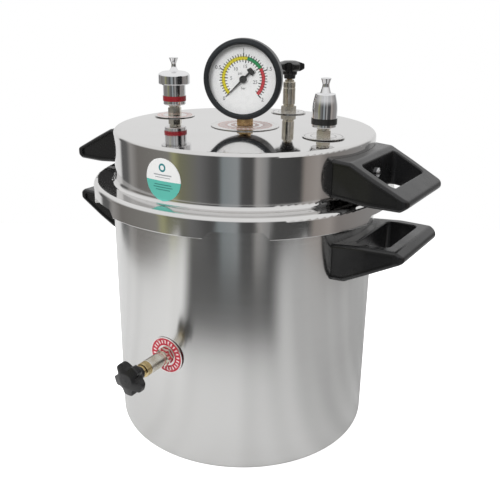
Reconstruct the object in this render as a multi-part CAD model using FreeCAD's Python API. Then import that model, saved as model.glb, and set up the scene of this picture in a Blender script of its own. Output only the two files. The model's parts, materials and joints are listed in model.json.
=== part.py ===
"""Cooker-type benchtop autoclave: aluminium pot, bayonet lid, gauge, two weights, two screw valves.

Millimetres.  The origin is the centre of the pot's base, +Z is up and the handles lie along X.
"""
import FreeCAD
import Part
import math
import os

V = FreeCAD.Vector
UP = V(0, 0, 1)
HERE = V(0, 0, 0)

# Pot
POT_R = 127.0
POT_WALL = 3.0
POT_FLOOR = 4.0
RIM_Z = 246.6
RIM_R = 133.0
LUG_R = 140.5
LUG_LOW = 237.8
LUG_HIGH = 243.5
LUG_HALF_ANGLE = 9.0

# Lid
LID_R = 124.0
LID_WALL = 3.0
LID_TOP = 299.0
LID_CROWN = 1.0
LID_EDGE = 3.5
LID_FOOT = 4.5
FLANGE_TOP = 252.0
FLANGE_LOW = 249.0
SKIRT_R = 144.4
SKIRT_WALL = 3.0
SKIRT_LOW = 233.4
LIP_R = 133.8
LIP_TOP = 237.0
NOTCHES = 6
NOTCH_HALF_LOW = 27.5
NOTCH_HALF_HIGH = 21.5
NOTCH_TOP = 240.3

# Handles, one moulding used upright on the lid and upside down on the pot
HANDLE_HALF = 47.0
HANDLE_TIP = 182.3
HANDLE_ROUNDING = 3.0
PANEL_DEPTH = 1.8
HANDLE_LID_Z = 253.4
HANDLE_POT_Z = 220.7
HANDLE_ROOT = 108.0
GRIP_HOLE = (136.5, 165.7)
GRIP_HOLE_HALF = 37.0
HOLE_ROUNDING = 1.5
BRACKET_HEIGHT = 20.0
BRACKET_RISE = 20.0
LID_BRACKET_Z = HANDLE_LID_Z + BRACKET_RISE
POT_BRACKET_Z = HANDLE_POT_Z - BRACKET_RISE
RIVET_TURN = 7.5
RIVET_R = 2.4
SCREW_R = 2.5
HOLE_EASE = 0.05

# Fittings on the lid: distance from the centre and direction in degrees
BAND_VALVE = (92.0, 174.5)
CONE_VALVE = (86.5, -4.0)
RELEASE_VALVE = (99.0, 94.5)
LABEL_LOW = 299.9
LABEL_THICK = 0.5
FITTING_LOW = LABEL_LOW + LABEL_THICK
SHANK_R = 5.0
SHANK_LENGTH = 16.0
HOLE_PLAY = 0.15
BAND_WEIGHT_LOW = 311.0
CONE_WEIGHT_LOW = 308.6

# Drain valve on the wall of the pot
DRAIN_Z = 111.0
DRAIN_AZIMUTH = -90.0

# Screw valves
VALVE_TUBE_R = 6.65
VALVE_BORE_R = 4.8
VALVE_SEAT = 9.0
GLAND_R = 6.5
GLAND_GROOVES = 24
SPINDLE_R = 2.75
SPINDLE_PLAY = 0.65
JUMPER_PIN_R = 1.2
STAR_TIP_R = 15.9
STAR_VALLEY_R = 8.2

# Pressure gauge
GAUGE_AZIMUTH = -68.0
GAUGE_Z = 344.3
GAUGE_SETBACK = 11.0
GAUGE_SHANK_R = 6.5
BEZEL_R = 36.3
CASE_R = 34.0
WINDOW_R = 31.0
SOCKET_BLOCK = ((-7.0, 7.0), (-31.8, -22.0), (-17.5, -6.5))
PINION_R = 1.4
SECTOR_R = 12.6

# Rack
RACK_R = 112.0
RACK_Z = 26.0
RACK_THICK = 1.5
RACK_HOLE_R = 4.0
RACK_PITCH = 21.0

# Paper label on the wall of the lid
STICKER_R = 18.0
STICKER_Z = 272.4
STICKER_AZIMUTH = -90.5
STICKER_GAP = 0.05
STICKER_THICK = 0.25


def outline(corners):
    """Closed wire in the XZ plane through corners (x, z) or (x, z, rounding radius)."""
    spots = [V(c[0], 0, c[1]) for c in corners]
    radii = [c[2] if len(c) > 2 else 0 for c in corners]
    count = len(spots)
    starts, ends, arcs = [], [], []
    for i, spot in enumerate(spots):
        back = (spots[i - 1] - spot).normalize()
        ahead = (spots[(i + 1) % count] - spot).normalize()
        half = back.getAngle(ahead) / 2
        reach = radii[i] / math.tan(half)
        starts.append(spot + back * reach)
        ends.append(spot + ahead * reach)
        arc = None
        if radii[i]:
            inward = (back + ahead).normalize()
            top = spot + inward * (radii[i] / math.sin(half) - radii[i])
            arc = Part.Arc(starts[i], top, ends[i]).toShape()
        arcs.append(arc)
    edges = []
    for i in range(count):
        if arcs[i]:
            edges.append(arcs[i])
        follow = starts[(i + 1) % count]
        if ends[i].distanceToPoint(follow) > 1e-6:
            edges.append(Part.makeLine(ends[i], follow))
    return Part.Wire(edges)


def turned(*corners):
    """Solid of revolution about Z from a closed (r, z) profile."""
    return Part.Face(outline(corners)).revolve(HERE, UP, 360)


def slab(corners, half_width):
    """(x, z) profile extruded both ways along Y."""
    face = Part.Face(outline(corners))
    face.translate(V(0, -half_width, 0))
    return face.extrude(V(0, 2 * half_width, 0))


def plate(corners, low, high):
    """(x, y) profile extruded from z = low to z = high."""
    wire = outline(corners)
    wire.rotate(HERE, V(1, 0, 0), -90)
    face = Part.Face(wire)
    face.translate(V(0, 0, low))
    return face.extrude(V(0, 0, high - low))


def rod(radius, low, high, x=0.0, y=0.0):
    """Upright cylinder."""
    return Part.makeCylinder(radius, high - low, V(x, y, low))


def ring(outer, inner, low, high):
    """Upright tube."""
    return rod(outer, low, high).cut(rod(inner, low - 1, high + 1))


def block(x, y, z):
    """Box from three (low, high) pairs."""
    return Part.makeBox(x[1] - x[0], y[1] - y[0], z[1] - z[0], V(x[0], y[0], z[0]))


def hexagon(across, low, high, chamfer=0.0):
    """Hexagonal prism with a given width across flats and a turned chamfer at its top."""
    reach = across / math.sqrt(3)
    corners = [(reach * math.cos(math.radians(60 * k)), reach * math.sin(math.radians(60 * k)))
               for k in range(6)]
    prism = plate(corners, low, high)
    if chamfer:
        prism = prism.common(turned((0, low), (reach, low), (reach, high - chamfer * 0.6),
                                    (across / 2 - 0.2, high), (0, high)))
    return prism


def joined(*shapes):
    """One solid from several that touch or overlap."""
    body = shapes[0]
    for other in shapes[1:]:
        body = body.fuse(other)
    return body.removeSplitter()


def around(shape, azimuth):
    """Copy turned about Z."""
    copy = shape.copy()
    copy.rotate(HERE, UP, azimuth)
    return copy


def moved(shape, x=0.0, y=0.0, z=0.0):
    """Copy shifted."""
    copy = shape.copy()
    copy.translate(V(x, y, z))
    return copy


def on_lid(shape, spot):
    """Copy of an upright fitting, built about Z, moved to its (distance, azimuth) on the lid."""
    return around(moved(shape, x=spot[0]), spot[1])


def save(name, *shapes):
    """Writes one node: a single solid or a group of like solids."""
    shape = shapes[0] if len(shapes) == 1 else Part.makeCompound(list(shapes))
    for solid in shape.Solids:
        if not solid.isValid():
            print("not valid:", name)
    print(name, len(shape.Solids), round(shape.Volume / 1000, 2), "cm3")
    shape.exportStep(os.path.join("parts", name + ".step"))


# ---------------------------------------------------------------- pot

def rivet_holes(wall_r, height, side):
    """Two radial rivet holes through a wall, for one bracket."""
    return [around(radial_rod(RIVET_R + HOLE_EASE, wall_r - 8, wall_r + 1, height), 180 * side + turn)
            for turn in (-RIVET_TURN, RIVET_TURN)]


def radial_rod(radius, start, end, height):
    """Cylinder along +X."""
    return Part.makeCylinder(radius, end - start, V(start, 0, height), V(1, 0, 0))


def pot():
    """Deep-drawn pot with a rolled rim and six bayonet lugs."""
    inner = POT_R - POT_WALL
    shell = turned((0, 0), (POT_R, 0, 9), (POT_R, RIM_Z - 6, 1.5), (RIM_R, RIM_Z - 4.5, 0.8),
                   (RIM_R, RIM_Z, 1.4), (inner, RIM_Z, 1.2), (inner, POT_FLOOR, 7), (0, POT_FLOOR))
    band = turned((POT_R - 1, LUG_LOW), (LUG_R, LUG_LOW, 0.8), (LUG_R, LUG_HIGH, 1.5),
                  (POT_R - 1, LUG_HIGH))
    reach = LUG_R + 5
    side = reach * math.tan(math.radians(LUG_HALF_ANGLE))
    wedge = plate([(0, 0), (reach, -side), (reach, side)], LUG_LOW - 1, LUG_HIGH + 1)
    lug = band.common(wedge)
    body = joined(shell, *[around(lug, 30 + 60 * k) for k in range(NOTCHES)])
    cuts = [Part.makeCylinder(SHANK_R + HOLE_PLAY, 20, V(0, -POT_R + 10, DRAIN_Z), V(0, -1, 0))]
    for side in (0, 1):
        cuts += rivet_holes(POT_R, POT_BRACKET_Z, side)
    for cut in cuts:
        body = body.cut(cut)
    return body


# ---------------------------------------------------------------- lid

def lid():
    """Domed lid with a flange, a skirt with six notches, and lips that hook under the lugs."""
    inner = LID_R - LID_WALL
    under = LID_TOP - LID_WALL
    shell = turned((0, under), (inner, under, 5), (inner, FLANGE_LOW), (SKIRT_R - SKIRT_WALL, FLANGE_LOW, 1),
                   (SKIRT_R - SKIRT_WALL, LIP_TOP, 0.8), (LIP_R, LIP_TOP, 0.8),
                   (LIP_R, SKIRT_LOW, 0.8), (SKIRT_R, SKIRT_LOW, 0.8), (SKIRT_R, FLANGE_TOP, 4),
                   (LID_R, FLANGE_TOP, LID_FOOT), (LID_R, LID_TOP, LID_EDGE), (0, LID_TOP))
    flat_r = LID_R - LID_EDGE
    sphere_r = (flat_r ** 2 + LID_CROWN ** 2) / (2 * LID_CROWN)
    crown = Part.makeSphere(sphere_r, V(0, 0, LID_TOP + LID_CROWN - sphere_r))
    crown = crown.common(rod(flat_r, LID_TOP, LID_TOP + 5))
    body = joined(shell, crown)
    notch = plate([(-NOTCH_HALF_LOW - 1.7, -2), (NOTCH_HALF_LOW + 1.7, -2),
                   (NOTCH_HALF_HIGH, NOTCH_TOP - SKIRT_LOW, 3), (-NOTCH_HALF_HIGH, NOTCH_TOP - SKIRT_LOW, 3)],
                  0, 30)
    notch.rotate(HERE, V(1, 0, 0), 90)
    notch.rotate(HERE, UP, 90)
    notch.translate(V(LIP_R - 5, 0, SKIRT_LOW))
    cuts = [around(notch, 60 * k) for k in range(NOTCHES)]
    hole = rod(SHANK_R + HOLE_PLAY, under - 5, LID_TOP + 5)
    cuts += [on_lid(hole, spot) for spot in (BAND_VALVE, CONE_VALVE, RELEASE_VALVE)]
    cuts.append(rod(GAUGE_SHANK_R + HOLE_PLAY, under - 5, LID_TOP + 5))
    for side in (0, 1):
        cuts += rivet_holes(LID_R, LID_BRACKET_Z, side)
    for cut in cuts:
        body = body.cut(cut)
    return body


def gasket():
    """Rubber ring under the flange with a lip outside the pot's rim."""
    low, high = RIM_Z + 0.3, FLANGE_LOW - 0.1
    skirt_in = SKIRT_R - SKIRT_WALL
    return turned((LID_R + 0.6, low, 0.5), (RIM_R + 1.2, low), (RIM_R + 1.2, LUG_HIGH + 0.9, 0.5),
                  (skirt_in - 0.4, LUG_HIGH + 0.9, 0.5), (skirt_in - 0.4, high, 1.2), (LID_R + 0.6, high))


# ---------------------------------------------------------------- handles

def handle_plan(half):
    """The moulding's outline from above, with its sides drawn in towards the tip."""
    tip = HANDLE_TIP
    return plate([(HANDLE_ROOT, -half), (150, -half, 60), (tip - 3, -half + 2.5, 6),
                  (tip + 0.2, -half + 8, 8), (tip + 0.2, half - 8, 8), (tip - 3, half - 2.5, 6),
                  (150, half, 60), (HANDLE_ROOT, half)], -5, 45)


def side_panels():
    """Shallow recess in both side faces, inside a rim that follows the moulding's edges."""
    end = HANDLE_TIP - 9
    panel = slab([(HANDLE_ROOT - 8, 8.2), (146, 4.9, 60), (end, 4.6, 1.5), (end, 10.5, 1.5), (129.6, 32.7, 5),
                  (HANDLE_ROOT - 8, 34.1)], HANDLE_HALF + 5)
    return panel.cut(handle_plan(HANDLE_HALF - PANEL_DEPTH))


def handle_blank():
    """Solid moulding with all its outer edges rounded, flat face down at z = 0, wall towards -X."""
    tip, half = HANDLE_TIP, HANDLE_HALF
    body = slab([(HANDLE_ROOT, 4.6), (146, 0.9, 60), (tip - 7, 0.4, 5), (tip, 5.2, 4), (tip - 0.8, 10.2, 4),
                 (131.3, 35.9, 8), (HANDLE_ROOT, 37.3)], half)
    body = body.common(handle_plan(half))
    outer = [edge for edge in body.Edges if edge.BoundBox.XMax > HANDLE_ROOT + 4]
    return body.makeFillet(HANDLE_ROUNDING, outer)


def grip_hole():
    """Finger opening through the moulding."""
    low, high = GRIP_HOLE
    return plate([(low, -GRIP_HOLE_HALF, 4), (high, -GRIP_HOLE_HALF + 1, 5),
                  (high, GRIP_HOLE_HALF - 1, 5), (low, GRIP_HOLE_HALF, 4)], -10, 60)


def hole_rims(body):
    """Edges round both mouths of the finger opening."""
    rims = []
    for edge in body.Edges:
        box = edge.BoundBox
        inside = box.XMin > GRIP_HOLE[0] - 0.1 and box.XMax < GRIP_HOLE[1] + 0.1
        if inside and abs(box.Center.y) < GRIP_HOLE_HALF + 0.1 and not upright(edge):
            rims.append(edge)
    return rims


def upright(edge):
    """True for an edge that runs straight up through the moulding."""
    box = edge.BoundBox
    return box.XLength < 0.01 and box.YLength < 0.01


def handle(wall_r, bracket_z):
    """Moulded handle with its pocket for the bracket and its screw hole, flat face down."""
    body = handle_blank().cut(grip_hole())
    body = body.makeFillet(HOLE_ROUNDING, hole_rims(body)).cut(side_panels())
    body = body.cut(rod(wall_r + 0.2, -20, 80))
    pocket = block((wall_r - 20, wall_r + 4.9), (-25, 25), (bracket_z - 12, bracket_z + 12))
    body = body.cut(pocket)
    return body.cut(radial_rod(2.7, wall_r - 5, GRIP_HOLE[0] + 4, bracket_z))


def bracket(wall_r, height):
    """Curved aluminium bracket on the wall with a threaded boss for the handle screw."""
    skin = ring(wall_r + 2.4, wall_r + 0.1, height - BRACKET_HEIGHT / 2, height + BRACKET_HEIGHT / 2)
    skin = skin.common(block((wall_r - 20, wall_r + 5), (-23, 23), (height - 20, height + 20)))
    boss = block((wall_r + 1, wall_r + 4.6), (-8, 8), (height - 8, height + 8))
    body = joined(skin, boss).cut(radial_rod(SCREW_R + HOLE_EASE, wall_r - 5, wall_r + 10, height))
    for turn in (-RIVET_TURN, RIVET_TURN):
        body = body.cut(around(radial_rod(RIVET_R + HOLE_EASE, wall_r - 5, wall_r + 10, height), turn))
    return body


def handle_screw(wall_r, height):
    """Pan-head screw from the finger opening into the bracket."""
    head = turned((0, 0), (4.3, 0), (4.3, 1.6, 0.9), (2.0, 3.0, 1.5), (0, 3.0))
    slot = block((-5, 5), (-0.5, 0.5), (2.0, 4))
    screw = joined(head.cut(slot), rod(SCREW_R, -(GRIP_HOLE[0] - wall_r - 1.4), 0))
    screw.rotate(HERE, V(0, 1, 0), 90)
    return moved(screw, x=GRIP_HOLE[0] + 0.1, z=height)


def bracket_rivets(wall_r, wall, height):
    """The two rivets of one bracket: flat head inside the wall, dome outside."""
    rivets = []
    for turn in (-RIVET_TURN, RIVET_TURN):
        body = turned((0, -1.7), (4.2, -1.7, 0.8), (4.2, -0.15), (RIVET_R, -0.15), (RIVET_R, wall + 2.5),
                      (3.8, wall + 2.5), (3.2, wall + 3.9, 1), (0, wall + 4.0))
        body.rotate(HERE, V(0, 1, 0), 90)
        rivets.append(around(moved(body, x=wall_r - wall, z=height), turn))
    return rivets


def on_pot(shape):
    """The moulding turned upside down and set on the pot."""
    copy = shape.copy()
    copy.rotate(HERE, V(1, 0, 0), 180)
    return moved(copy, z=HANDLE_POT_Z)


# ---------------------------------------------------------------- weights and vent stems

def vent_stem(low):
    """Threaded stem through the lid with a hexagon; the nozzle at its top carries a weight."""
    seat = low - 0.3
    core = turned((0, LID_TOP - SHANK_LENGTH), (SHANK_R, LID_TOP - SHANK_LENGTH, 0.6),
                  (SHANK_R, seat - 1.6), (6.2, seat - 1.6, 0.4), (6.2, seat, 0.4),
                  (3.4, seat), (3.4, low + 5), (2.2, low + 12, 0.3), (0, low + 12))
    body = joined(core, hexagon(12.2, FITTING_LOW, seat - 2.4, 0.8))
    return body.cut(rod(1.5, LID_TOP - SHANK_LENGTH - 1, low + 13))


def back_nut(inner, across, top, height=6.0):
    """Hexagon nut drawn up against the inside of the wall."""
    return hexagon(across, top - height, top).cut(rod(inner, top - height - 1, top + 1))


def label_disc(radius, hole, low=LABEL_LOW):
    """Thin printed disc under a fitting."""
    return ring(radius, hole, low, low + LABEL_THICK)


def nozzle_socket(low):
    """The hollow under a weight that sits over the stem's nozzle."""
    return turned((0, low - 1), (3.8, low - 1), (3.8, low + 5.2), (2.6, low + 12.3), (0, low + 12.3))


def band_weight_parts():
    """Weight with a red band, a broad cap and a trumpet knob: body, band and cap."""
    low = BAND_WEIGHT_LOW
    body = turned((0, low), (11.5, low, 1.2), (11.5, low + 3.9), (10.6, low + 3.9), (10.6, low + 9.1),
                  (11.5, low + 9.1), (11.5, low + 20.4), (0, low + 20.4)).cut(nozzle_socket(low))
    band = ring(11.8, 10.7, low + 4.0, low + 9.0)
    top = low + 20.6
    cap = turned((0, top), (15.4, top, 0.4), (16.0, top + 0.8, 0.4), (16.0, top + 10.0, 3.6),
                 (12.0, top + 12.2, 4.0), (4.8, top + 13.0, 1.0), (2.6, top + 16.4, 4.0),
                 (2.3, top + 19.6, 6.0), (4.8, top + 25.8, 0.4), (3.0, top + 26.0), (2.0, top + 24.8),
                 (0, top + 24.6))
    return body, band, cap


def cone_weight_parts():
    """Bullet-shaped weight with a flat shoulder, a trumpet knob and a black band near its foot."""
    low = CONE_WEIGHT_LOW
    body = turned((0, low), (10.9, low, 0.8), (10.9, low + 2.6), (10.2, low + 2.6), (10.2, low + 7.8),
                  (11.0, low + 7.8, 0.2), (11.2, low + 18.5, 40), (8.8, low + 28.8, 0.9),
                  (4.8, low + 29.2, 0.3), (3.2, low + 34.6, 5.0), (3.0, low + 37.0, 4.0),
                  (4.6, low + 41.8, 0.3), (3.4, low + 42.2), (2.4, low + 41.2),
                  (0, low + 41.0)).cut(nozzle_socket(low))
    band = ring(11.4, 10.3, low + 2.7, low + 7.7)
    return body, band


# ---------------------------------------------------------------- screw valves

def valve_body(length, shoulder, shank):
    """Body of a screw valve, standing on z = 0: shank, hexagon, tube, seat and side outlet."""
    hexes = hexagon(14.0, shoulder, shoulder + 6.4, 1.0)
    tube = turned((0, shoulder + 6.4), (5.9, shoulder + 6.4), (5.9, shoulder + 7.6),
                  (VALVE_TUBE_R, shoulder + 8.4), (VALVE_TUBE_R, length - 8.6, 0.5), (0, length - 8.6))
    body = joined(rod(SHANK_R, -shank, shoulder), hexes, tube)
    body = body.cut(rod(2.5, -shank - 1, VALVE_SEAT + 1))
    body = body.cut(rod(VALVE_BORE_R, VALVE_SEAT, length))
    return body.cut(Part.makeCylinder(1.8, 12, V(0, 0, VALVE_SEAT + 5.5), V(0, 1, 0)))


def gland_nut(length):
    """Grooved gland nut screwed into the top of the tube, round the spindle."""
    bore = SPINDLE_R + SPINDLE_PLAY
    grip = turned((bore, length - 8.4), (GLAND_R, length - 8.4, 0.4), (GLAND_R, length - 2.4, 0.6),
                  (5.0, length - 1.8), (5.0, length, 0.3), (bore, length))
    plug = ring(VALVE_BORE_R - 0.1, bore, length - 11.0, length - 8.4)
    body = joined(grip, plug)
    for k in range(GLAND_GROOVES):
        groove = rod(0.4, length - 7.4, length - 3.2, GLAND_R + 0.1)
        body = body.cut(around(groove, 360 / GLAND_GROOVES * k))
    return body


def jumper():
    """Loose valve disc that the spindle presses on the seat."""
    return joined(rod(3.9, VALVE_SEAT + 0.1, VALVE_SEAT + 2.4),
                  rod(JUMPER_PIN_R, VALVE_SEAT + 2.0, VALVE_SEAT + 6.0))


def spindle(length):
    """Screwed spindle from the jumper to inside the knob."""
    low = VALVE_SEAT + 2.6
    body = turned((0, low), (SPINDLE_R, low, 0.3), (SPINDLE_R, length + 12.0, 0.6), (0, length + 12.0))
    return body.cut(rod(JUMPER_PIN_R + HOLE_EASE, low - 1, low + 4.0))


def star_knob(length):
    """Five-lobed moulded knob on a stepped hub."""
    low = length + 1.0
    corners = []
    for k in range(5):
        tip = math.radians(72 * k + 90)
        half = math.radians(15)
        valley = math.radians(72 * k + 126)
        for turn in (-half, half):
            corners.append((STAR_TIP_R * math.cos(tip + turn), STAR_TIP_R * math.sin(tip + turn), 2.8))
        corners.append((STAR_VALLEY_R * math.cos(valley), STAR_VALLEY_R * math.sin(valley), 3.0))
    star = plate(corners, low + 8.0, low + 19)
    dome = turned((0, low + 8.0), (11, low + 8.0, 3), (15.4, low + 10.4, 1.2), (15.2, low + 15.4, 1.4),
                  (6.5, low + 18.2, 4), (0, low + 18.6))
    hub = turned((0, low), (5.9, low, 0.6), (6.2, low + 3.6), (7.6, low + 4.4, 0.8), (8.0, low + 9),
                 (0, low + 9))
    body = joined(star.common(dome), hub)
    return body.cut(rod(SPINDLE_R + 0.02, low - 1, length + 12.1))


def screw_valve(name, length, shoulder, shank, nut_top, label_r, label_low, lay):
    """Writes every piece of one screw valve; lay puts an upright piece in its place."""
    pieces = {
        "body": valve_body(length, shoulder, shank),
        "back_nut": back_nut(SHANK_R + 0.05, 17.0, nut_top),
        "label_disc": label_disc(label_r, SHANK_R + 0.3, label_low),
        "gland_nut": gland_nut(length),
        "jumper": jumper(),
        "spindle": spindle(length),
        "knob": star_knob(length),
    }
    for piece, shape in pieces.items():
        save(name + "_" + piece, lay(shape))


# ---------------------------------------------------------------- gauge

def gauge_laid(shape):
    """Gauge piece built with its face along +Z and its top along +Y, stood up on the lid."""
    copy = shape.copy()
    copy.rotate(HERE, V(1, 0, 0), 90)
    copy.translate(V(0, -GAUGE_SETBACK, GAUGE_Z))
    copy.rotate(HERE, UP, GAUGE_AZIMUTH + 90)
    return copy


def gauge_socket():
    """Brass socket: shank through the lid, hexagon, neck, and the block inside the case."""
    top = GAUGE_Z - CASE_R
    body = joined(rod(GAUGE_SHANK_R, LID_TOP - SHANK_LENGTH, FITTING_LOW + 0.6),
                  hexagon(15.0, FITTING_LOW + 0.6, FITTING_LOW + 7.0, 0.8),
                  rod(5.6, FITTING_LOW + 7.0, top + 4),
                  gauge_laid(block(*SOCKET_BLOCK)))
    return body.cut(rod(2.2, LID_TOP - SHANK_LENGTH - 1, top + 8))


def gauge_case():
    """Cup of the gauge with a hole for the socket."""
    cup = turned((0, -24), (CASE_R, -24, 3.5), (CASE_R, 4.2), (CASE_R - 1.2, 4.2), (CASE_R - 1.2, -22.8, 2.5),
                 (0, -22.8))
    cup = gauge_laid(cup)
    return cup.cut(rod(5.8, GAUGE_Z - CASE_R - 5, GAUGE_Z - CASE_R + 6))


def gauge_bezel():
    """Ring that holds the window on the case."""
    return turned((CASE_R + 0.1, -4.5), (BEZEL_R - 0.6, -4.5, 0.6), (BEZEL_R, -3.0, 0.5), (BEZEL_R, 6.6, 2.4),
                  (WINDOW_R + 1.8, 8.2, 1.4), (WINDOW_R, 6.6, 0.4), (WINDOW_R, 6.2), (CASE_R + 0.1, 6.2))


def gauge_pointer():
    """Pointer with its counterweight, at zero, and the spindle with the pinion."""
    needle = plate([(-3.0, 0.9), (-21.0, 0.25), (-21.0, -0.25), (-3.0, -0.9)], 1.5, 2.1)
    tail = plate([(2.0, 0.8), (8.0, 1.1), (8.6, 3.9, 0.5), (12.6, 2.6, 0.8), (12.6, -2.6, 0.8),
                  (8.6, -3.9, 0.5), (8.0, -1.1), (2.0, -0.8)], 1.5, 2.1)
    blade = joined(needle, tail, rod(3.3, 1.3, 2.7))
    blade.rotate(HERE, UP, 45)
    return joined(blade, rod(0.8, -10.4, 2.9), rod(PINION_R, -8.4, -6.0))


def gauge_sector():
    """Sector gear on its arbor, below the pointer spindle."""
    half = math.radians(19)
    rim = SECTOR_R + 4
    across, up = rim * math.sin(half), rim * math.cos(half)
    wedge = [(0, 0), (-across, up), (across, up)]
    disc = ring(SECTOR_R - 0.06, 1.0, -7.8, -6.8).common(plate(wedge, -9, -5))
    body = joined(disc, rod(2.2, -7.8, -6.8), rod(0.9, -10.4, -4.4),
                  plate([(-1.3, 0), (1.3, 0), (1.0, -7.5, 0.9), (-1.0, -7.5, 0.9)], -7.8, -6.8))
    body.rotate(HERE, UP, -15)
    return moved(body, y=-(PINION_R + SECTOR_R))


def gauge_movement():
    """Two brass plates and their pillars, screwed to the socket block."""
    bottom = SOCKET_BLOCK[1][1] + 0.2
    plates = []
    for low, high in ((-11.8, -10.6), (-5.4, -4.4)):
        sheet = plate([(-10, bottom, 2), (10, bottom, 2), (10, 4, 3), (-10, 4, 3)], low, high)
        for hole_r, hole_y in ((0.9, 0), (1.0, -(PINION_R + SECTOR_R))):
            sheet = sheet.cut(rod(hole_r, low - 1, high + 1, 0, hole_y))
        plates.append(sheet)
    pillars = [rod(1.3, -10.7, -5.3, x, y) for x, y in ((-8.2, 2), (8.2, 2))]
    return joined(*plates, *pillars)


def gauge_tube():
    """C-shaped flattened Bourdon tube from the side of the socket's block round to its closed tip."""
    section = outline([(25.0, -17.0, 0.8), (27.0, -17.0, 0.8), (27.0, -12.0, 0.8), (25.0, -12.0, 0.8)])
    tube = Part.Face(section).revolve(HERE, UP, 250)
    tube.rotate(HERE, UP, -80)
    return tube.cut(block(*SOCKET_BLOCK))


def write_gauge():
    """Every piece of the gauge."""
    save("gauge_socket", gauge_socket())
    save("gauge_back_nut", back_nut(GAUGE_SHANK_R + 0.05, 19.0, LID_TOP - LID_WALL - 0.1))
    save("gauge_label_disc", label_disc(32.7, GAUGE_SHANK_R + 0.3, LABEL_LOW + 0.2))
    save("gauge_case", gauge_case())
    save("gauge_bezel", gauge_laid(gauge_bezel()))
    save("gauge_dial", gauge_laid(ring(CASE_R - 1.5, 1.2, -0.8, 0)))
    save("gauge_window", gauge_laid(rod(CASE_R - 0.3, 4.4, 6.1)))
    save("gauge_pointer", gauge_laid(gauge_pointer()))
    save("gauge_sector", gauge_laid(gauge_sector()))
    save("gauge_movement_plates", gauge_laid(gauge_movement()))
    save("gauge_bourdon_tube", gauge_laid(gauge_tube()))


# ---------------------------------------------------------------- rack and sticker

def rack_plate():
    """Perforated plate with a turned-down edge."""
    body = turned((0, RACK_Z), (RACK_R - 1.5, RACK_Z), (RACK_R - 1.5, RACK_Z - 6), (RACK_R, RACK_Z - 6),
                  (RACK_R, RACK_Z + RACK_THICK, 1.4), (0, RACK_Z + RACK_THICK))
    holes = []
    rows = int(RACK_R / RACK_PITCH) + 2
    for i in range(-rows, rows + 1):
        for j in range(-rows, rows + 1):
            x = RACK_PITCH * (i + j / 2)
            y = RACK_PITCH * j * math.sqrt(3) / 2
            if math.hypot(x, y) < RACK_R - 12:
                holes.append(rod(RACK_HOLE_R, RACK_Z - 1, RACK_Z + RACK_THICK + 1, x, y))
    return body.cut(Part.makeCompound(holes))


def rack_legs():
    """Three bent-bar legs under the rack plate."""
    legs = []
    for azimuth in (30, 150, 270):
        leg = turned((0, POT_FLOOR + 0.1), (5.0, POT_FLOOR + 0.1, 1.0), (3.0, POT_FLOOR + 3, 1.0),
                     (3.0, RACK_Z - 0.1), (0, RACK_Z - 0.1))
        legs.append(around(moved(leg, x=RACK_R - 14), azimuth))
    return legs


def sticker():
    """Round paper label on the wall of the lid."""
    inner, outer = STICKER_GAP, STICKER_GAP + STICKER_THICK
    patch = turned((LID_R + inner, 295), (LID_R + inner, FLANGE_TOP + inner, LID_FOOT - inner),
                   (LID_R + 12, FLANGE_TOP + inner), (LID_R + 12, FLANGE_TOP + outer),
                   (LID_R + outer, FLANGE_TOP + outer, LID_FOOT - outer), (LID_R + outer, 295))
    patch = patch.common(Part.makeCylinder(STICKER_R, 40, V(LID_R - 20, 0, STICKER_Z), V(1, 0, 0)))
    return around(patch, STICKER_AZIMUTH)


# ---------------------------------------------------------------- write

def write_handles():
    """Handles, brackets, screws and rivets of the lid and of the pot."""
    sides = {"right": 0, "left": 180}
    lid_handle = moved(handle(LID_R, BRACKET_RISE), z=HANDLE_LID_Z)
    pot_handle = on_pot(handle(POT_R, BRACKET_RISE))
    for side, azimuth in sides.items():
        save("lid_handle_" + side, around(lid_handle, azimuth))
        save("pot_handle_" + side, around(pot_handle, azimuth))
        save("lid_bracket_" + side, around(bracket(LID_R, LID_BRACKET_Z), azimuth))
        save("pot_bracket_" + side, around(bracket(POT_R, POT_BRACKET_Z), azimuth))
    for name, wall_r, wall, height in (("lid", LID_R, LID_WALL, LID_BRACKET_Z),
                                       ("pot", POT_R, POT_WALL, POT_BRACKET_Z)):
        save(name + "_handle_screws", *[around(handle_screw(wall_r, height), a) for a in sides.values()])
        save(name + "_bracket_rivets", *[around(rivet, a) for a in sides.values()
                                         for rivet in bracket_rivets(wall_r, wall, height)])


def write_weights():
    """Both weight-loaded valves on the lid."""
    nut_top = LID_TOP - LID_WALL - 0.1
    for name, spot, low, label_r in (("band_valve", BAND_VALVE, BAND_WEIGHT_LOW, 20.6),
                                     ("cone_valve", CONE_VALVE, CONE_WEIGHT_LOW, 19.0)):
        save(name + "_stem", on_lid(vent_stem(low), spot))
        save(name + "_back_nut", on_lid(back_nut(SHANK_R + 0.05, 17.0, nut_top), spot))
        save(name + "_label_disc", on_lid(label_disc(label_r, SHANK_R + 0.3), spot))
    for name, shape in zip(("weight", "red_band", "cap"), band_weight_parts()):
        save("band_valve_" + name, on_lid(shape, BAND_VALVE))
    for name, shape in zip(("weight", "black_band"), cone_weight_parts()):
        save("cone_valve_" + name, on_lid(shape, CONE_VALVE))


def write_screw_valves():
    """Steam release valve on the lid and drain valve on the pot."""
    rise = FITTING_LOW - LID_TOP
    screw_valve("release_valve", 35.0, rise, SHANK_LENGTH, -LID_WALL - 0.1, 18.6, LABEL_LOW - LID_TOP,
                lambda shape: on_lid(moved(shape, z=LID_TOP), RELEASE_VALVE))

    def at_wall(shape):
        copy = shape.copy()
        copy.rotate(HERE, V(1, 0, 0), 90)
        copy.rotate(HERE, V(0, 1, 0), 180)
        return moved(copy, y=-POT_R, z=DRAIN_Z)

    screw_valve("drain_valve", 36.0, 1.3, SHANK_LENGTH - 1, -POT_WALL - 0.6, 17.5, 0.3, at_wall)


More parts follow.
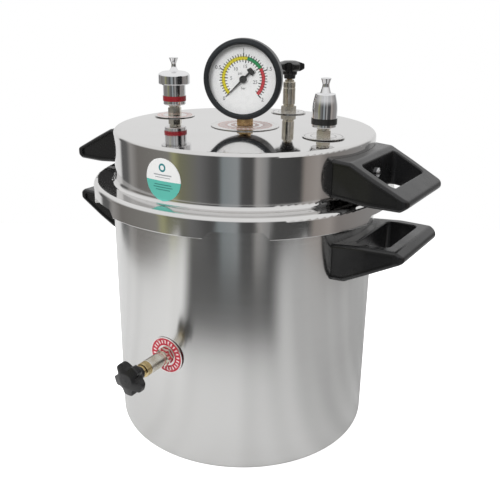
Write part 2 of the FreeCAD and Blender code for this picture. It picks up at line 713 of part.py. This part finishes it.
os.makedirs("parts", exist_ok=True)
save("pot", pot())
save("lid", lid())
save("lid_gasket", gasket())
save("lid_sticker", sticker())
save("rack_plate", rack_plate())
save("rack_legs", *rack_legs())
write_handles()
write_weights()
write_screw_valves()
write_gauge()
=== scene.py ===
import json
import math

import bpy
from mathutils import Matrix, Vector


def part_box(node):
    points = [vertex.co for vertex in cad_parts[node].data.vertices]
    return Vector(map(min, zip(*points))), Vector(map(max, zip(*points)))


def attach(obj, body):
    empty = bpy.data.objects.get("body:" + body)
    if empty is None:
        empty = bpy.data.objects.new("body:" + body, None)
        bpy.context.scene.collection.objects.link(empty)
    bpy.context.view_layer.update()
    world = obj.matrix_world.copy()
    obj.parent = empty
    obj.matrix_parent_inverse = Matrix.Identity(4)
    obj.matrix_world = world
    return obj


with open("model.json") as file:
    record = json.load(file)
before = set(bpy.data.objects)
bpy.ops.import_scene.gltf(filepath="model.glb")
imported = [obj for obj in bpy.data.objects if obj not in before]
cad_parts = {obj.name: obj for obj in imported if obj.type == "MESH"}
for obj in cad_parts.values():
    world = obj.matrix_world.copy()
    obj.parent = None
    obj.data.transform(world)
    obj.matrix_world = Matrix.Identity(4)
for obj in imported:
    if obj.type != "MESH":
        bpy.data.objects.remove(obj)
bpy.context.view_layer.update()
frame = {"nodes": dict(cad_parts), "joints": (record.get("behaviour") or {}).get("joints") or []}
nodes = frame["nodes"]
bpy.ops.object.select_all(action="DESELECT")

# The camera stands at the front right of the pot and a little above the lid, turned about the
# upright axis by its heading, tipped up from straight down and rolled by less than a degree.
eye = Vector((0.3543, -0.5550, 0.4140))
heading, tip, roll = math.radians(32.0), math.radians(69.93), math.radians(0.79)
bpy.ops.object.camera_add()
camera = bpy.context.object
camera.matrix_world = (Matrix.Translation(eye) @ Matrix.Rotation(heading, 4, "Z")
                       @ Matrix.Rotation(tip, 4, "X") @ Matrix.Rotation(roll, 4, "Z"))
camera.data.lens = 49.58
camera.data.sensor_width = 36.0
bpy.context.scene.camera = camera


# The studio: a white sheet under the pot in a room that is lit from above and behind.  The front
# of the room is darker, with one pale strip in it, and polished metal picks that up as bands.
class Socket:
    """A shader socket on which arithmetic is written as an ordinary expression."""

    def __init__(self, finish, socket):
        self.finish = finish
        self.socket = socket

    def maths(self, operation, first, second=0.0):
        return self.finish.node("Math", {"operation": operation}, {0: first, 1: second})

    def __add__(self, other):
        return self.maths("ADD", self, other)

    def __sub__(self, other):
        return self.maths("SUBTRACT", self, other)

    def __rsub__(self, other):
        return self.maths("SUBTRACT", other, self)

    def __mul__(self, other):
        return self.maths("MULTIPLY", self, other)

    def __truediv__(self, other):
        return self.maths("DIVIDE", self, other)

    def __lt__(self, other):
        return self.maths("LESS_THAN", self, other)

    def __gt__(self, other):
        return self.maths("GREATER_THAN", self, other)

    __radd__ = __add__
    __rmul__ = __mul__


class Finish:
    """A node tree of a material or of the world, and the one way to add nodes to it."""

    def __init__(self, owner):
        if isinstance(owner, str):
            owner = bpy.data.materials.new(owner)
        owner.use_nodes = True
        self.owner = owner
        self.tree = owner.node_tree

    def node(self, kind, settings=None, inputs=None, output=0):
        """Adds a node, applies its settings, then feeds its sockets; returns one output."""
        node = self.tree.nodes.new("ShaderNode" + kind)
        for key, value in (settings or {}).items():
            if key == "stops":
                ramp = node.color_ramp
                while len(ramp.elements) < len(value):
                    ramp.elements.new(0.5)
                for element, (place, colour) in zip(ramp.elements, value):
                    element.position = place
                    element.color = colour
            else:
                setattr(node, key, value)
        self.feed(node, inputs or {})
        return Socket(self, node.outputs[output])

    def feed(self, node, inputs):
        for key, value in inputs.items():
            if isinstance(value, Socket):
                self.tree.links.new(value.socket, node.inputs[key])
            else:
                node.inputs[key].default_value = value

    def part(self, kind):
        """The node of a kind that the tree starts with."""
        return next(n for n in self.tree.nodes if n.bl_idname == "ShaderNode" + kind)


def grey(value):
    return (value, value, value, 1.0)


room = Finish(bpy.context.scene.world or bpy.data.worlds.new("room"))
bpy.context.scene.world = room.owner
ray = room.node("TexCoord", output="Generated")
apart = room.node("SeparateXYZ", inputs={0: ray})
side = Socket(room, apart.socket.node.outputs["X"])
depth = Socket(room, apart.socket.node.outputs["Y"])
height = Socket(room, apart.socket.node.outputs["Z"])
turn = math.atan2(eye.y, eye.x)
facing = side * math.cos(turn) + depth * math.sin(turn)
rightward = depth * math.cos(turn) - side * math.sin(turn)
azimuth = room.node("Math", {"operation": "ARCTAN2"}, {0: rightward, 1: facing})
offset = azimuth / (2 * math.pi) + 0.5
walls = room.node("ValToRGB", {"stops": [
    (0.000, grey(0.80)), (0.122, grey(0.78)), (0.136, grey(0.12)), (0.165, grey(0.13)),
    (0.185, (0.34, 0.33, 0.32, 1)), (0.215, (0.19, 0.18, 0.17, 1)), (0.315, (0.24, 0.235, 0.22, 1)),
    (0.330, (0.36, 0.36, 0.20, 1)), (0.345, (0.20, 0.20, 0.13, 1)), (0.394, grey(0.165)),
    (0.425, grey(0.09)), (0.440, grey(0.085)),
    (0.450, (0.25, 0.28, 0.29, 1)), (0.484, (0.31, 0.33, 0.34, 1)),
    (0.494, grey(0.09)), (0.519, grey(0.075)), (0.529, (0.40, 0.39, 0.38, 1)), (0.550, grey(0.28)),
    (0.560, grey(0.085)), (0.632, grey(0.055)), (0.645, (0.30, 0.27, 0.25, 1)),
    (0.680, (0.36, 0.33, 0.31, 1)), (0.700, (0.24, 0.22, 0.21, 1)), (0.860, grey(0.30)),
    (0.885, grey(0.74)), (1.000, grey(0.80))]},
    {0: offset})
upward = room.node("MapRange", {"interpolation_type": "SMOOTHSTEP"}, {0: height, 1: 0.05, 2: 0.50})
glow = room.node("Mix", {"data_type": "RGBA"}, {
    "Factor": upward, "A": walls, "B": grey(0.88)}, output=2)
seen = room.node("LightPath", output="Is Camera Ray")
shown = room.node("Mix", {"data_type": "RGBA"}, {
    "Factor": seen, "A": glow, "B": grey(1.0)}, output=2)
room.feed(room.part("Background"), {"Color": shown, "Strength": 1.0})
bpy.context.scene.view_settings.view_transform = "Standard"

# The sheet is plain white to the camera.  Polished metal sees painted shade in its colour: greyer to the
# right, in soft painted bands of light and shade, and a painted shadow in front of the pot beyond its foot.
SHEET_GAP = 0.0004
# Strength of the painted bands of light and shade, then the reach and bearings of the painted shadow.
PAINTED_BAND_CONTRAST = 0.10
PAINTED_SHADOW_REACH = (0.345, 0.395)
PAINTED_SHADOW_LEFT, PAINTED_SHADOW_RIGHT = (-0.83, -0.68), (0.56, 0.33)
bpy.ops.mesh.primitive_plane_add(size=1.0, location=(0, 0, 0))
sheet = bpy.context.object
sheet.name = "studio_sheet"
sheet_left, sheet_right, sheet_front, sheet_back = 0.58, 0.55, 0.62, 0.60
sheet.data.transform(Matrix.Rotation(heading, 4, "Z")
                     @ Matrix.Translation(((sheet_right - sheet_left) / 2,
                                           (sheet_back - sheet_front) / 2, -SHEET_GAP))
                     @ Matrix.Diagonal((sheet_right + sheet_left, sheet_front + sheet_back, 1, 1)))
paper = Finish("studio_paper")
place = paper.node("TexCoord", output="Object")
apart = paper.node("SeparateXYZ", inputs={0: place}).socket.node
along, across = Socket(paper, apart.outputs["X"]), Socket(paper, apart.outputs["Y"])
aside = along * math.cos(heading) + across * math.sin(heading)
nearer = along * math.sin(heading) - across * math.cos(heading)
reach = paper.node("VectorMath", {"operation": "LENGTH"}, {0: place}, output="Value")
bearing = paper.node("Math", {"operation": "ARCTAN2"}, {0: aside, 1: nearer})


def ramp_up(value, low, high):
    """Rises smoothly from 0 to 1 between two values of a socket; low may be the higher one."""
    return paper.node("MapRange", {"interpolation_type": "SMOOTHSTEP"}, {0: value, 1: low, 2: high})


# Painted bands of light and shade across the sheet, which polished metal shows as bands.
broad = paper.node("Math", {"operation": "SINE"}, {0: bearing * 7.0 + 0.8})
narrow = paper.node("Math", {"operation": "SINE"}, {0: bearing * 19.0})
# Painted shade: the sheet's colour greys towards the right, where the pot's shadow would fall.
painted_shading = paper.node("Mix", {"data_type": "RGBA"}, {
    "Factor": ramp_up(aside, -0.05, 0.30) + (broad + narrow) * PAINTED_BAND_CONTRAST,
    "A": grey(0.76), "B": grey(0.46)}, output=2)
# Painted shadow: a near-black patch on the sheet in front of the pot, beyond its foot.
painted_shadow = (ramp_up(reach, *PAINTED_SHADOW_REACH) * ramp_up(bearing, *PAINTED_SHADOW_LEFT)
         * ramp_up(bearing, *PAINTED_SHADOW_RIGHT))
paper.feed(paper.part("BsdfPrincipled"), {
    "Base Color": paper.node("Mix", {"data_type": "RGBA"}, {
        "Factor": painted_shadow, "A": painted_shading, "B": grey(0.06)}, output=2),
    "Roughness": 0.9, "Emission Color": paper.node("LightPath", output="Is Camera Ray"),
    "Emission Strength": 1.0})
sheet.data.materials.append(paper.owner)


def soft_box(place, aim, size, power):
    """A round soft light that fills matt surfaces but isn't mirrored in polished ones."""
    bpy.ops.object.light_add(type="AREA")
    lamp = bpy.context.object
    lamp.data.shape = "DISK"
    lamp.data.size = size
    lamp.data.energy = power
    lamp.visible_glossy = False
    lamp.matrix_world = (Matrix.Translation(place)
                         @ (Vector(aim) - Vector(place)).to_track_quat("-Z", "Y").to_matrix().to_4x4())


soft_box((-0.9, -0.9, 1.9), (0, 0, 0.2), 1.8, 6.0)
soft_box((0.25, -1.7, 1.25), (0, 0, 0.3), 0.9, 20.0)


# Pot: deep-drawn aluminium, finished on a lathe with fine lines that run round the wall.  It is
# satin near the foot and brighter towards the lid, with faint cloudy handling marks.
def cover(finish, *names):
    """Gives a finish to CAD nodes."""
    for name in names:
        for place in nodes[name].material_slots:
            place.material = finish.owner


def position(finish, scale=(1, 1, 1), centre=(0, 0, 0)):
    """Place on the object in metres, from a centre, with each direction scaled."""
    return finish.node("Mapping", {"vector_type": "POINT"}, {
        "Vector": finish.node("TexCoord", output="Object"),
        "Location": tuple(-c * s for c, s in zip(centre, scale)), "Scale": scale})


def noise(finish, scale, stretch=(1, 1, 1), detail=2.0):
    """Grey noise whose grains are 1 / scale metres across before stretching."""
    return finish.node("TexNoise", inputs={"Vector": position(finish, stretch), "Scale": scale,
                                           "Detail": detail})


def between(finish, value, low, high, start, end):
    """Value mapped smoothly from low..high to start..end."""
    return finish.node("MapRange", {"interpolation_type": "SMOOTHSTEP"}, {
        0: value, 1: low, 2: high, 3: start, 4: end})


def blend(finish, factor, first, second):
    """Colour that runs from the first to the second."""
    return finish.node("Mix", {"data_type": "RGBA"}, {
        "Factor": factor, "A": first, "B": second}, output=2)


def bumped(finish, heights, strength, distance):
    """Normal that follows a field of heights."""
    return finish.node("Bump", inputs={"Strength": strength, "Distance": distance, "Height": heights})


def height_of(finish):
    """Height above the bench."""
    return finish.node("SeparateXYZ", inputs={0: finish.node("TexCoord", output="Object")}, output=2)


pot_metal = Finish("pot_turned_aluminium")
lines = noise(pot_metal, 1.0, (0.0, 0.0, 300), 1.0)
clouds = noise(pot_metal, 14.0, detail=3.0)
satin = between(pot_metal, height_of(pot_metal), 0.04, 0.20, 0.235, 0.17)
pot_metal.feed(pot_metal.part("BsdfPrincipled"), {
    "Base Color": blend(pot_metal, clouds * 0.6 + lines * 0.4,
                        (0.66, 0.655, 0.645, 1), (0.79, 0.79, 0.785, 1)),
    "Metallic": 1.0,
    "Roughness": satin + (lines - 0.5) * 0.03 + (clouds - 0.5) * 0.03,
    "Anisotropic": 0.75,
    "Anisotropic Rotation": 0.25,
    "Normal": bumped(pot_metal, lines, 0.004, 0.0002)})
cover(pot_metal, "pot")


# Lid: pressed aluminium, buffed to a near mirror on top and along its edges.  The wall keeps
# enough of the turning lines to draw reflections out into upright bands.
lid_metal = Finish("lid_buffed_aluminium")
lines = noise(lid_metal, 1.0, (0.0, 0.0, 300), 1.0)
clouds = noise(lid_metal, 17.0, detail=4.0)
lid_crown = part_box("lid")[1].z
edge = between(lid_metal, height_of(lid_metal), lid_crown - 0.006, lid_crown - 0.001, 0.10, 0.05)
lid_metal.feed(lid_metal.part("BsdfPrincipled"), {
    "Base Color": blend(lid_metal, clouds, (0.70, 0.69, 0.68, 1), (0.77, 0.765, 0.76, 1)),
    "Metallic": 1.0,
    "Roughness": edge + (lines - 0.5) * 0.05 + (clouds - 0.5) * 0.03,
    "Anisotropic": 0.5,
    "Anisotropic Rotation": 0.25,
    "Normal": bumped(lid_metal, lines, 0.008, 0.0002)})
cover(lid_metal, "lid")


# Brackets, rivets and the rack are plain mill-finish aluminium, with a slight grain and dull spots
# where water has dried.
mill_metal = Finish("mill_aluminium")
grain = noise(mill_metal, 1.0, (900, 60, 60), 2.0)
spots = noise(mill_metal, 90.0, detail=4.0)
mill_metal.feed(mill_metal.part("BsdfPrincipled"), {
    "Base Color": blend(mill_metal, spots, (0.58, 0.58, 0.57, 1), (0.72, 0.72, 0.72, 1)),
    "Metallic": 1.0,
    "Roughness": between(mill_metal, spots, 0.3, 0.7, 0.42, 0.26),
    "Normal": bumped(mill_metal, grain, 0.05, 0.0002)})
cover(mill_metal, "rack_plate", "rack_legs", "lid_bracket_rivets", "pot_bracket_rivets",
      *[name for name in nodes if "_bracket_" in name and "rivets" not in name])


# Gasket: black moulded rubber squeezed between the flange and the rim, dusted with talc.
gasket_rubber = Finish("gasket_rubber")
talc = noise(gasket_rubber, 260.0, detail=4.0)
gasket_rubber.feed(gasket_rubber.part("BsdfPrincipled"), {
    "Base Color": blend(gasket_rubber, between(gasket_rubber, talc, 0.55, 0.75, 0.0, 0.6),
                        grey(0.012), grey(0.05)),
    "Roughness": between(gasket_rubber, talc, 0.3, 0.7, 0.5, 0.7),
    "Normal": bumped(gasket_rubber, talc, 0.15, 0.0002)})
cover(gasket_rubber, "lid_gasket")


# Handles and valve knobs: compression-moulded black phenolic.  It is glossy on the flats, a little
# duller where fingers rub, and its skin has a faint orange peel and pale specks of filler.
phenolic = Finish("black_phenolic")
peel = noise(phenolic, 420.0, detail=2.0)
rubbed = noise(phenolic, 38.0, detail=4.0)
filler = noise(phenolic, 1500.0, detail=1.0)
phenolic.feed(phenolic.part("BsdfPrincipled"), {
    "Base Color": blend(phenolic, between(phenolic, filler, 0.66, 0.78, 0.0, 0.35),
                        (0.010, 0.010, 0.0105, 1), grey(0.035)),
    "Roughness": between(phenolic, rubbed, 0.35, 0.70, 0.17, 0.32),
    "Normal": bumped(phenolic, peel, 0.06, 0.0003)})
cover(phenolic, "release_valve_knob", "drain_valve_knob",
      *[name for name in nodes if "_handle_" in name and "screws" not in name])


# Handle screws: zinc-plated pan heads at the back of each grip.
zinc = Finish("zinc_plate")
plating = noise(zinc, 700.0, detail=3.0)
zinc.feed(zinc.part("BsdfPrincipled"), {
    "Base Color": blend(zinc, plating, (0.52, 0.53, 0.55, 1), (0.66, 0.66, 0.66, 1)),
    "Metallic": 1.0,
    "Roughness": between(zinc, plating, 0.3, 0.7, 0.22, 0.36)})
cover(zinc, "lid_handle_screws", "pot_handle_screws")


# Weights and cap: turned brass with bright chrome plating, faintly smeared by fingers.
chrome = Finish("chrome_plate")
smear = noise(chrome, 120.0, detail=4.0)
chrome.feed(chrome.part("BsdfPrincipled"), {
    "Base Color": (0.86, 0.86, 0.87, 1), "Metallic": 1.0,
    "Roughness": between(chrome, smear, 0.4, 0.75, 0.035, 0.12)})
cover(chrome, "band_valve_weight", "band_valve_cap", "cone_valve_weight")


# Marking bands: a smooth dark red sleeve on one weight and a black one on the other, both rubber
# with a soft shine.
def band_rubber(name, colour, worn):
    rubber = Finish(name)
    scuff = noise(rubber, 300.0, detail=4.0)
    rubber.feed(rubber.part("BsdfPrincipled"), {
        "Base Color": blend(rubber, scuff, colour, worn),
        "Roughness": between(rubber, scuff, 0.3, 0.7, 0.28, 0.45),
        "Normal": bumped(rubber, scuff, 0.05, 0.0002)})
    return rubber


cover(band_rubber("red_band_rubber", (0.24, 0.008, 0.014, 1), (0.32, 0.018, 0.025, 1)),
      "band_valve_red_band")
cover(band_rubber("black_band_rubber", grey(0.010), grey(0.022)), "cone_valve_black_band")


# Valve bodies, stems and nuts: brass under a thin, slightly yellow nickel plating.  The socket,
# spindles and the inside of the gauge are bare brass, and the drain gland nut is brighter brass.
def turned_brass(name, fresh, dull, roughness):
    brass = Finish(name)
    tool_marks = noise(brass, 1.0, (300, 300, 2200), 2.0)
    tarnish = noise(brass, 160.0, detail=4.0)
    brass.feed(brass.part("BsdfPrincipled"), {
        "Base Color": blend(brass, between(brass, tarnish, 0.35, 0.70, 0.0, 1.0), fresh, dull),
        "Metallic": 1.0,
        "Roughness": between(brass, tarnish, 0.35, 0.75, roughness, roughness + 0.12),
        "Normal": bumped(brass, tool_marks, 0.04, 0.0002)})
    return brass


nickel = turned_brass("nickel_plated_brass", (0.76, 0.73, 0.66, 1), (0.62, 0.57, 0.47, 1), 0.14)
bare_brass = turned_brass("bare_brass", (0.72, 0.52, 0.27, 1), (0.45, 0.30, 0.15, 1), 0.22)
gland_brass = turned_brass("gland_brass", (0.76, 0.62, 0.34, 1), (0.52, 0.40, 0.20, 1), 0.16)
cover(nickel, "release_valve_gland_nut",
      *[name for name in nodes if name.endswith(("_stem", "_back_nut", "_valve_body"))])
cover(bare_brass, "gauge_socket", "gauge_back_nut", "gauge_movement_plates", "gauge_sector",
      "gauge_bourdon_tube", *[name for name in nodes if name.endswith(("_jumper", "_spindle"))])
cover(gland_brass, "drain_valve_gland_nut")


# Label discs: thin aluminium washers printed with rings of ink.  Each has its own colours, and
# the printed band carries a plain row of ticks in place of words.
TICK_CUT = 0.35


def middle(name):
    low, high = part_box(name)
    return (low + high) / 2


def printed_disc(name, metal, ink, mark, rings, ticks):
    """Rings are (inner share, outer share) of the disc's radius that hold ink; ticks cross them."""
    disc = Finish(name + "_print")
    low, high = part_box(name)
    radius = max(high - low) / 2
    flat = position(disc, tuple(1 / radius for _ in range(3)), middle(name))
    reach = disc.node("VectorMath", {"operation": "LENGTH"}, {0: flat}, output="Value")
    thin = min(range(3), key=lambda axis: (high - low)[axis])
    along, across = [axis for axis in range(3) if axis != thin]
    apart = disc.node("SeparateXYZ", inputs={0: flat}).socket.node
    bearing = disc.node("Math", {"operation": "ARCTAN2"}, {
        0: Socket(disc, apart.outputs[across]), 1: Socket(disc, apart.outputs[along])})
    inked = 0.0
    for inner, outer in rings:
        inked = (reach > inner) * (reach < outer) + inked
    tick_low, tick_high, count = ticks
    wave = disc.node("Math", {"operation": "SINE"}, {0: bearing * count})
    ticked = (wave > TICK_CUT) * (reach > tick_low) * (reach < tick_high)
    worn = noise(disc, 420.0, detail=4.0)
    fade = inked * between(disc, worn, 0.30, 0.45, 0.55, 1.0)
    shine = noise(disc, 1.0, (40, 40, 40), 2.0)
    colour = blend(disc, fade, metal, blend(disc, ticked, ink, mark))
    disc.feed(disc.part("BsdfPrincipled"), {
        "Base Color": colour,
        "Metallic": 1.0 - fade * 0.75,
        "Roughness": between(disc, shine, 0.3, 0.7, 0.16, 0.28) + fade * 0.15})
    cover(disc, name)


silver = (0.74, 0.73, 0.72, 1)
blush = (0.62, 0.44, 0.41, 1)
thin_rings = [(0.56, 0.62), (0.86, 0.92)]
printed_disc("gauge_label_disc", silver, blush, silver, [(0.30, 0.42), (0.52, 0.80)], (0.58, 0.74, 34))
printed_disc("band_valve_label_disc", silver, blush, silver, [(0.60, 0.88)], (0.66, 0.82, 26))
printed_disc("cone_valve_label_disc", silver, grey(0.42), silver, thin_rings, (0.66, 0.82, 26))
printed_disc("release_valve_label_disc", silver, grey(0.42), silver, thin_rings, (0.6, 0.8, 26))
printed_disc("drain_valve_label_disc", (0.80, 0.74, 0.73, 1), (0.50, 0.022, 0.045, 1), (0.86, 0.70, 0.70, 1),
             [(0.34, 0.46), (0.56, 0.94)], (0.66, 0.84, 24))


# Paper label on the lid's wall: white above and teal below, glossy film over the print, with a
# plain round mark and ruled lines where a maker would print details.
paper_label = Finish("sticker_print")
low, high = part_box("lid_sticker")
centre = (low + high) / 2
label_radius = (high.z - low.z) / 2
spot = paper_label.node("SeparateXYZ", inputs={0: position(paper_label, (1 / label_radius,) * 3, centre)})
across = Socket(paper_label, spot.socket.node.outputs["X"])
upright = Socket(paper_label, spot.socket.node.outputs["Z"])


def bar(middle_up, half_high, half_wide):
    """A ruled line across the label."""
    offset = paper_label.node("Math", {"operation": "ABSOLUTE"}, {0: upright - middle_up})
    reach = paper_label.node("Math", {"operation": "ABSOLUTE"}, {0: across})
    return (offset < half_high) * (reach < half_wide)


teal = (0.115, 0.50, 0.42, 1)
ground = blend(paper_label, upright < -0.06, grey(0.86), teal)
mark_reach = paper_label.node("Math", {"operation": "SQRT"}, {
    0: across * across + (upright - 0.56) * (upright - 0.56)})
mark = (mark_reach < 0.20) * (mark_reach > 0.11)
ground = blend(paper_label, mark, ground, (0.03, 0.22, 0.24, 1))
pale_rules = bar(0.22, 0.030, 0.52) + bar(0.10, 0.018, 0.44)
ground = blend(paper_label, pale_rules, ground, (0.35, 0.36, 0.38, 1))
dark_rules = bar(-0.24, 0.022, 0.50) + bar(-0.36, 0.022, 0.56) + bar(-0.48, 0.022, 0.42)
ground = blend(paper_label, dark_rules, ground, (0.04, 0.20, 0.18, 1))
fibre = noise(paper_label, 500.0, detail=3.0)
paper_label.feed(paper_label.part("BsdfPrincipled"), {
    "Base Color": ground,
    "Roughness": between(paper_label, fibre, 0.3, 0.7, 0.30, 0.40),
    "Coat Weight": 0.3,
    "Normal": bumped(paper_label, fibre, 0.05, 0.0001)})
cover(paper_label, "lid_sticker")


# Gauge case and bezel: spun steel under black enamel, with a soft shine and a faint texture.
enamel = Finish("black_enamel")
texture = noise(enamel, 520.0, detail=2.0)
enamel.feed(enamel.part("BsdfPrincipled"), {
    "Base Color": blend(enamel, noise(enamel, 60.0), (0.016, 0.018, 0.020, 1), (0.026, 0.029, 0.032, 1)),
    "Roughness": between(enamel, texture, 0.3, 0.7, 0.26, 0.36),
    "Specular IOR Level": 0.25,
    "Normal": bumped(enamel, texture, 0.08, 0.0002)})
cover(enamel, "gauge_case", "gauge_bezel")


# Dial: white enamelled plate under the pointer, with a coloured band, ticks on both sides of it, two
# rows of figures and a unit for each.  The ink is laid on as a thin raised film.
dial_white = Finish("dial_white")
tooth = noise(dial_white, 300.0, detail=3.0)
dial_white.feed(dial_white.part("BsdfPrincipled"), {
    "Base Color": blend(dial_white, tooth, grey(0.88), grey(0.93)),
    "Roughness": between(dial_white, tooth, 0.3, 0.7, 0.40, 0.55)})
cover(dial_white, "gauge_dial")

pointer_joint = next(j for j in frame["joints"] if j["name"] == "gauge_pointer_turn")
toward_reader = -Vector(pointer_joint["axis"]).normalized()
dial_right = Vector((0, 0, 1)).cross(toward_reader).normalized()
dial_frame = Matrix((dial_right, Vector((0, 0, 1)), toward_reader)).transposed().to_4x4()
dial_frame.translation = Vector(pointer_joint["pos_m"])

MM = 0.001
SCALE_START, SCALE_SWEEP, FULL_SCALE = 225.0, 270.0, 2.0
INNER_FULL_SCALE = 28.4
FILM = 0.05 * MM
BAND = (17.0 * MM, 20.4 * MM)
GREEN_FROM, RED_FROM = 1.08, 1.43
BAND_STEP = math.radians(3)
TICK_OVERLAP = 0.9 * MM


def ink(name, colour):
    """Printing ink with a slightly uneven tone."""
    film = Finish(name)
    tone = noise(film, 900.0, detail=2.0)
    thin = tuple(c * 0.88 + 0.02 for c in colour[:3]) + (1.0,)
    film.feed(film.part("BsdfPrincipled"), {
        "Base Color": blend(film, between(film, tone, 0.45, 0.75, 0.0, 0.8), colour, thin),
        "Roughness": between(film, tone, 0.3, 0.7, 0.38, 0.5)})
    return film


black_ink = ink("black_ink", (0.014, 0.014, 0.016, 1))


def bearing_of(value, full_scale):
    """Direction of a reading on the dial, in radians from the right."""
    return math.radians(SCALE_START - SCALE_SWEEP * value / full_scale)


def laid_on_dial(piece, name, finish):
    """Puts a print drawn flat about the origin on the dial, and lets it ride on the lid."""
    piece.name = name
    piece.data.transform(piece.matrix_basis)
    piece.matrix_basis = Matrix.Identity(4)
    piece.data.transform(dial_frame)
    piece.data.materials.clear()
    piece.data.materials.append(finish.owner)
    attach(piece, "lid_assembly")


def print_together(pieces, name):
    """Joins marks into one print in black ink."""
    bpy.ops.object.select_all(action="DESELECT")
    for piece in pieces:
        piece.select_set(True)
    bpy.context.view_layer.objects.active = pieces[0]
    bpy.ops.object.join()
    laid_on_dial(pieces[0], name, black_ink)


def arc_band(name, start, end, colour):
    """Part of the coloured band between two readings: a short edge spun round the dial's centre."""
    bpy.ops.mesh.primitive_plane_add(size=1.0)
    band = bpy.context.object
    band.data.transform(Matrix.Translation(((BAND[0] + BAND[1]) / 2, 0.0, 0.6 * FILM))
                        @ Matrix.Diagonal((BAND[1] - BAND[0], 0.0, 0.8 * FILM, 1))
                        @ Matrix.Rotation(math.radians(90), 4, "X"))
    first, last = bearing_of(start, FULL_SCALE), bearing_of(end, FULL_SCALE)
    band.data.transform(Matrix.Rotation(first, 4, "Z"))
    bpy.ops.object.mode_set(mode="EDIT")
    bpy.ops.mesh.select_all(action="SELECT")
    bpy.ops.mesh.spin(steps=max(4, round((first - last) / BAND_STEP)), angle=first - last,
                      center=(0, 0, 0), axis=(0, 0, 1))
    bpy.ops.mesh.select_all(action="SELECT")
    bpy.ops.mesh.remove_doubles(threshold=0.000001)
    bpy.ops.mesh.normals_make_consistent(inside=False)
    bpy.ops.object.mode_set(mode="OBJECT")
    laid_on_dial(band, name, ink(name + "_ink", colour))


arc_band("dial_band_yellow", 0.0, GREEN_FROM, (0.70, 0.60, 0.008, 1))
arc_band("dial_band_green", GREEN_FROM, RED_FROM, (0.008, 0.27, 0.085, 1))
arc_band("dial_band_red", RED_FROM, FULL_SCALE, (0.56, 0.035, 0.045, 1))


def tick_row(name, count, full_scale, unit, reach_of):
    """One row of ticks; reach_of gives the inner and outer radius of the tick at a count."""
    ticks = []
    for k in range(count + 1):
        inner, outer, width = reach_of(k)
        bpy.ops.mesh.primitive_cube_add(size=1.0)
        tick = bpy.context.object
        tick.data.transform(Matrix.Rotation(bearing_of(k * unit, full_scale), 4, "Z")
                            @ Matrix.Translation(((inner + outer) / 2, 0, 0.9 * FILM))
                            @ Matrix.Diagonal((outer - inner, width, FILM, 1)))
        ticks.append(tick)
    print_together(ticks, name)


def outer_tick(k):
    length = 3.0 if k % 10 == 0 else 2.2 if k % 2 == 0 else 1.6
    return BAND[1] - TICK_OVERLAP, BAND[1] + length * MM, (1.0 if k % 10 == 0 else 0.8) * MM


def inner_tick(k):
    length = 2.5 if k % 5 == 0 else 1.7
    return BAND[0] - length * MM, BAND[0] + TICK_OVERLAP, (1.0 if k % 5 == 0 else 0.8) * MM


tick_row("dial_ticks_outer", 40, FULL_SCALE, 0.05, outer_tick)
tick_row("dial_ticks_inner", 28, INNER_FULL_SCALE, 1.0, inner_tick)


def lettering(name, marks, size):
    """Upright marks printed on the dial: each is its text and its place from the dial's centre."""
    texts = []
    for words, right, up in marks:
        bpy.ops.object.text_add(location=(right, up, 0.2 * FILM))
        text = bpy.context.object
        text.data.body = words
        text.data.size = size
        text.data.align_x = "CENTER"
        text.data.align_y = "CENTER"
        text.data.extrude = 0.3 * FILM
        text.data.resolution_u = 3
        bpy.ops.object.select_all(action="DESELECT")
        text.select_set(True)
        bpy.ops.object.convert(target="MESH")
        text = bpy.context.object
        text.data.transform(Matrix.Translation((0, 0, 0.5 * FILM)) @ text.matrix_basis)
        text.matrix_basis = Matrix.Identity(4)
        texts.append(text)
    print_together(texts, name)


def figures(values, full_scale, radius):
    """Marks for readings, set round the dial."""
    bearings = [bearing_of(value, full_scale) for value in values]
    return [(f"{value:g}", radius * math.cos(angle), radius * math.sin(angle))
            for value, angle in zip(values, bearings)]


lettering("dial_figures_outer", figures([0, 0.5, 1, 1.5, 2], FULL_SCALE, 25.6 * MM), 4.8 * MM)
lettering("dial_figures_inner", figures([5, 10, 15, 20, 25], INNER_FULL_SCALE, 11.4 * MM), 4.4 * MM)
lettering("dial_units", [("psi", -3.0 * MM, 5.2 * MM), ("bar", 0.0, -8.2 * MM)], 3.4 * MM)


# Pointer: stamped, painted matt black, with the brass pinion spindle behind it.
pointer_paint = Finish("pointer_black")
stipple = noise(pointer_paint, 800.0, detail=2.0)
pointer_paint.feed(pointer_paint.part("BsdfPrincipled"), {
    "Base Color": blend(pointer_paint, stipple, grey(0.010), grey(0.020)),
    "Roughness": between(pointer_paint, stipple, 0.3, 0.7, 0.45, 0.60)})
cover(pointer_paint, "gauge_pointer")


# Gauge window: a clear flat glass pressed under the bezel, with a trace of dust.
window_glass = Finish("window_glass")
dust = noise(window_glass, 220.0, detail=5.0)
window_glass.feed(window_glass.part("BsdfPrincipled"), {
    "Base Color": (0.60, 0.61, 0.61, 1), "Roughness": 0.03,
    "Alpha": between(window_glass, dust, 0.45, 0.80, 0.02, 0.05)})
cover(window_glass, "gauge_window")
